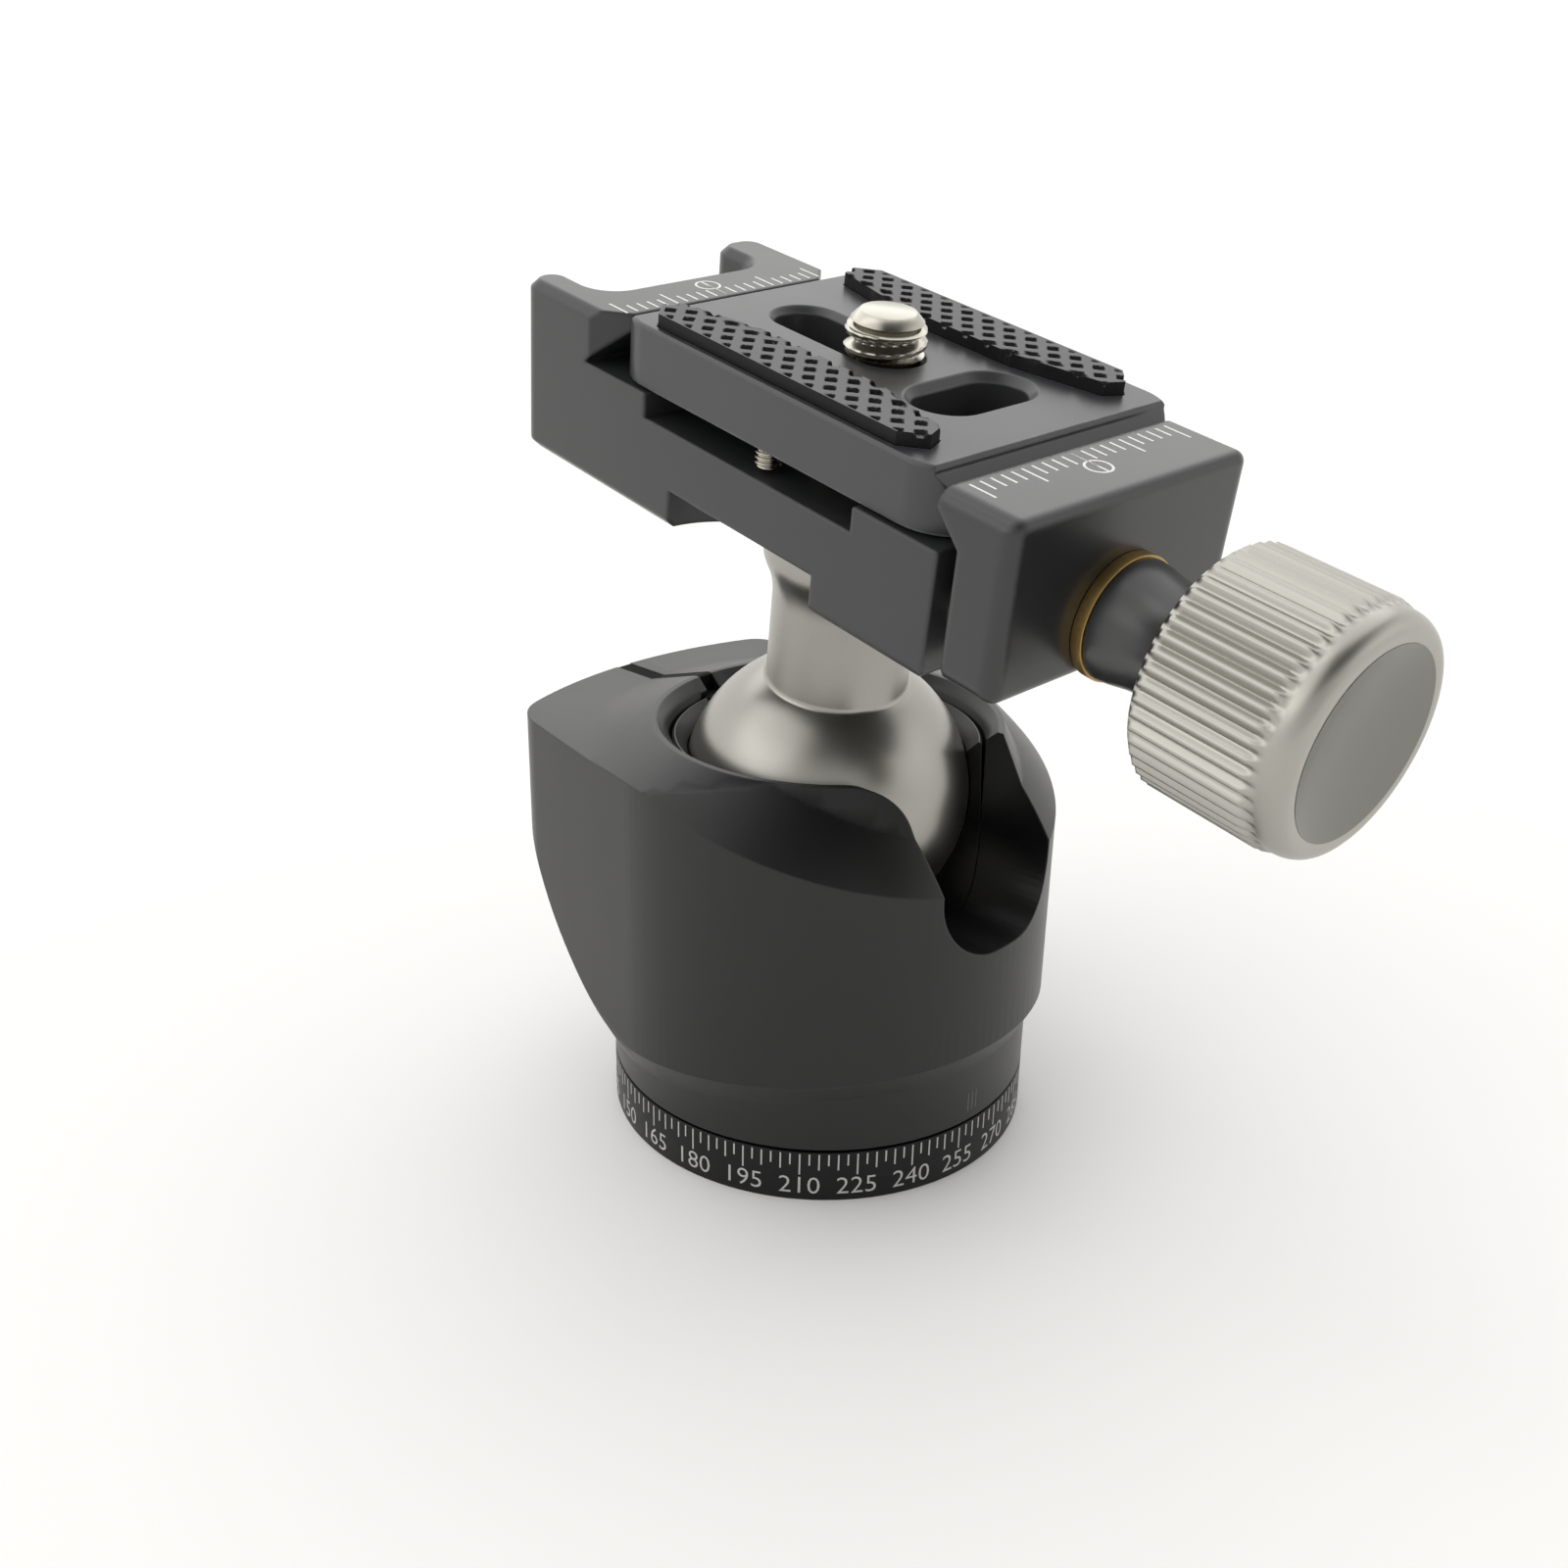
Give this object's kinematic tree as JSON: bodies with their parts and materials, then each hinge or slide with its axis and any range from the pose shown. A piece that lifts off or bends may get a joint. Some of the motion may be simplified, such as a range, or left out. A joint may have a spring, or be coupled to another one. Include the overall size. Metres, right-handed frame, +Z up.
{
  "type": "tripod ball head",
  "caption": "Small tripod ball head: panning base with a degree scale, split housing with a drop notch, ball on a stem, and a screw clamp with a dovetail camera plate.",
  "frame": {"origin": "centre of the base's underside, on the pan axis and the tripod thread", "axes": "+Z up along the pan axis; -Y towards the viewer's side that shows the scale's 225 degree mark and the front of the clamp; the drop notch faces 40 degrees clockwise of +X seen from above"},
  "size_m": [0.0665, 0.0842, 0.0735],
  "materials": {
    "ring_black": "matt black anodised, white printed scale",
    "housing_black": "matt charcoal black anodised",
    "clamp_black": "satin black anodised, white printed scales",
    "plate_black": "satin black anodised",
    "neck_black": "smooth black anodised",
    "ball_grey": "satin warm grey anodised, turned",
    "knob_grey": "fine blasted silver grey anodised",
    "steel": "bright stainless steel",
    "brass": "plain brass",
    "rubber_black": "black rubber",
    "plastic_black": "black acetal",
    "plastic_white": "natural acetal"
  },
  "bodies": {
    "base": {"pan_base": "ring_black", "tripod_thread_insert": "steel", "pan_friction_washer": "plastic_white", "pan_retaining_plate": "steel", "pan_retaining_screws": "steel"},
    "housing": {"ball_housing": "housing_black", "slit_seal": "rubber_black", "ball_liner": "plastic_black", "ball_seat": "plastic_black"},
    "lock_washer": {"main_thrust_washer": "brass"},
    "lock_knob": {"main_lock_screw": "steel", "main_knob": "knob_grey"},
    "pan_shoe": {"pan_lock_shoe": "brass"},
    "pan_knob": {"pan_lock_screw": "steel", "pan_lock_knob": "knob_grey"},
    "ball": {"ball_stem": "ball_grey"},
    "clamp": {"clamp_base": "clamp_black", "clamp_mount_screw": "steel", "jaw_springs": "steel"},
    "jaw": {"moving_jaw": "clamp_black", "guide_pins": "steel"},
    "clamp_knob_body": {"clamp_screw": "steel", "thrust_washer_brass": "brass", "knob_neck": "neck_black", "clamp_knob": "knob_grey"},
    "plate": {"camera_plate": "plate_black", "grip_strip_front": "rubber_black", "grip_strip_back": "rubber_black", "plate_stop_screws": "steel"},
    "screw_washer": {"camera_screw_washer": "plastic_white"},
    "screw": {"camera_screw": "steel"}
  },
  "joints": [
    {"name": "pan", "type": "hinge", "parent": "base", "child": "housing", "pos_m": [0, 0, 0], "axis": [0, 0, 1], "continuous": true},
    {"name": "ball_tilt", "type": "hinge", "parent": "housing", "child": "ball", "pos_m": [0, 0, 0.0303], "axis": [0.6404, 0.7633, 0.0852], "range_deg": [-48, 81]},
    {"name": "head_spin", "type": "hinge", "parent": "ball", "child": "clamp", "pos_m": [0, 0, 0.0303], "axis": [0.0637, -0.1633, 0.9845], "continuous": true},
    {"name": "jaw_slide", "type": "slide", "parent": "clamp", "child": "jaw", "axis": [0.6729, -0.7215, -0.1632], "range_m": [0, 0.004]},
    {"name": "clamp_knob_turn", "type": "hinge", "parent": "jaw", "child": "clamp_knob_body", "pos_m": [0.02203, -0.02637, 0.0539], "axis": [0.6729, -0.7215, -0.1632], "range_deg": [0, 1440]},
    {"name": "lock_travel", "type": "slide", "parent": "housing", "child": "lock_washer", "axis": [0.6428, 0.766, 0], "range_m": [0, 0.0008]},
    {"name": "lock_turn", "type": "hinge", "parent": "lock_washer", "child": "lock_knob", "pos_m": [-0.01318, 0.01106, 0.024], "axis": [0.6428, 0.766, 0], "range_deg": [0, 360]},
    {"name": "pan_lock_travel", "type": "slide", "parent": "housing", "child": "pan_shoe", "axis": [0.309, 0.9511, 0], "range_m": [0, 0.0007]},
    {"name": "pan_lock_turn", "type": "hinge", "parent": "pan_shoe", "child": "pan_knob", "pos_m": [0, 0, 0.008], "axis": [0.309, 0.9511, 0], "range_deg": [0, 360]},
    {"name": "plate_slide", "type": "slide", "parent": "clamp", "child": "plate", "axis": [0.737, 0.6728, 0.064], "range_m": [-0.0063, 0.0047]},
    {"name": "screw_slide", "type": "slide", "parent": "plate", "child": "screw_washer", "axis": [0.6729, -0.7215, -0.1632], "range_m": [-0.0089, 0.0004]},
    {"name": "screw_turn", "type": "hinge", "parent": "screw_washer", "child": "screw", "pos_m": [0.00335, -0.0058, 0.0667], "axis": [0.0637, -0.1633, 0.9845], "continuous": true}
  ],
  "couplings": [
    {"joint": "clamp_knob_turn", "follows": "jaw_slide", "rad_per_m": 6283.2},
    {"joint": "lock_turn", "follows": "lock_travel", "rad_per_m": 7854},
    {"joint": "pan_lock_turn", "follows": "pan_lock_travel", "rad_per_m": 8976}
  ]
}
